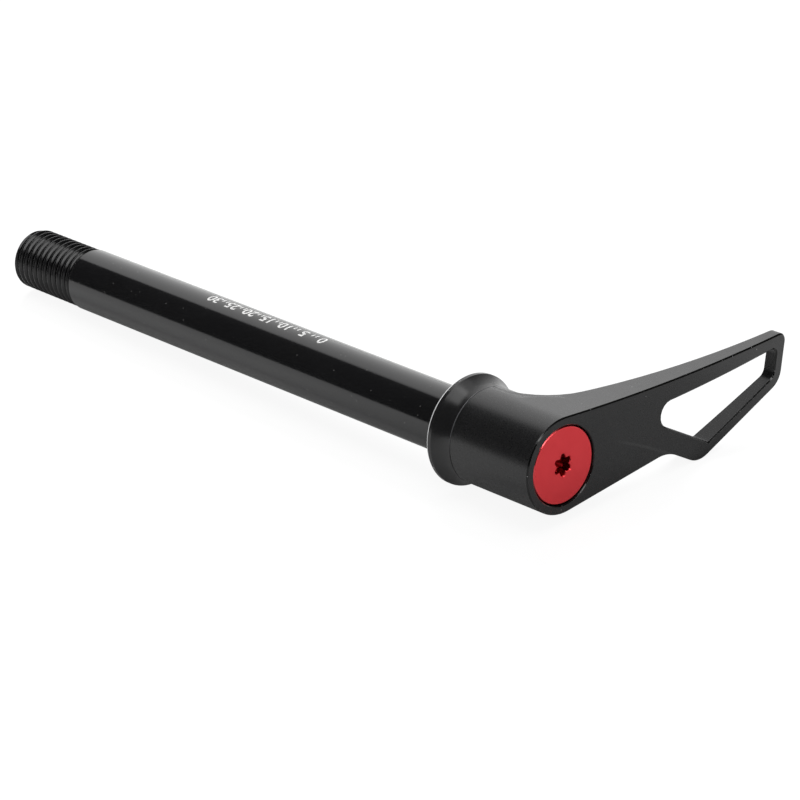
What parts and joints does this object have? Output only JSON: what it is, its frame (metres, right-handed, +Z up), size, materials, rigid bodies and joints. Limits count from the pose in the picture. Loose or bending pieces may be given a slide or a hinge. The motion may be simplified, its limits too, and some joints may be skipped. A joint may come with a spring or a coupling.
{
  "type": "quick release thru axle",
  "caption": "Screw-in hollow wheel axle with a flared seat collar and a spring-loaded lever that pulls out and turns to any rest angle.",
  "frame": {"origin": "on the axle's axis, in the plane of the collar's seat face", "axes": "+X along the axle, from the threaded end to the lever; +Y from the axis along the lever's arm; +Z up, away from the lever's heel"},
  "size_m": [0.1464, 0.0658, 0.0209],
  "materials": {
    "tube_black": "gloss black anodised",
    "lever_black": "satin black anodised",
    "collar_black": "satin black anodised, bare on the seat face and its edge",
    "bolt_red": "red anodised",
    "core_steel": "machined steel",
    "spring_steel": "oiled spring steel"
  },
  "bodies": {
    "axle": {"axle_tube": "tube_black", "ratchet_core": "core_steel", "cap_bolt": "bolt_red"},
    "collar": {"seat_collar": "collar_black"},
    "spring": {"return_spring": "spring_steel"},
    "lever": {"lever": "lever_black"}
  },
  "joints": [
    {"name": "collar_spin", "type": "hinge", "parent": "axle", "child": "collar", "pos_m": [0, 0, 0], "axis": [1, 0, 0], "continuous": true},
    {"name": "lever_index", "type": "hinge", "parent": "axle", "child": "spring", "pos_m": [0, 0, 0], "axis": [1, 0, 0], "continuous": true},
    {"name": "lever_pull", "type": "slide", "parent": "spring", "child": "lever", "axis": [1, 0, 0], "range_m": [0, 0.005], "stiffness_N_per_m": 2500, "springref_m": -0.004, "deforming": ["return_spring"]}
  ]
}
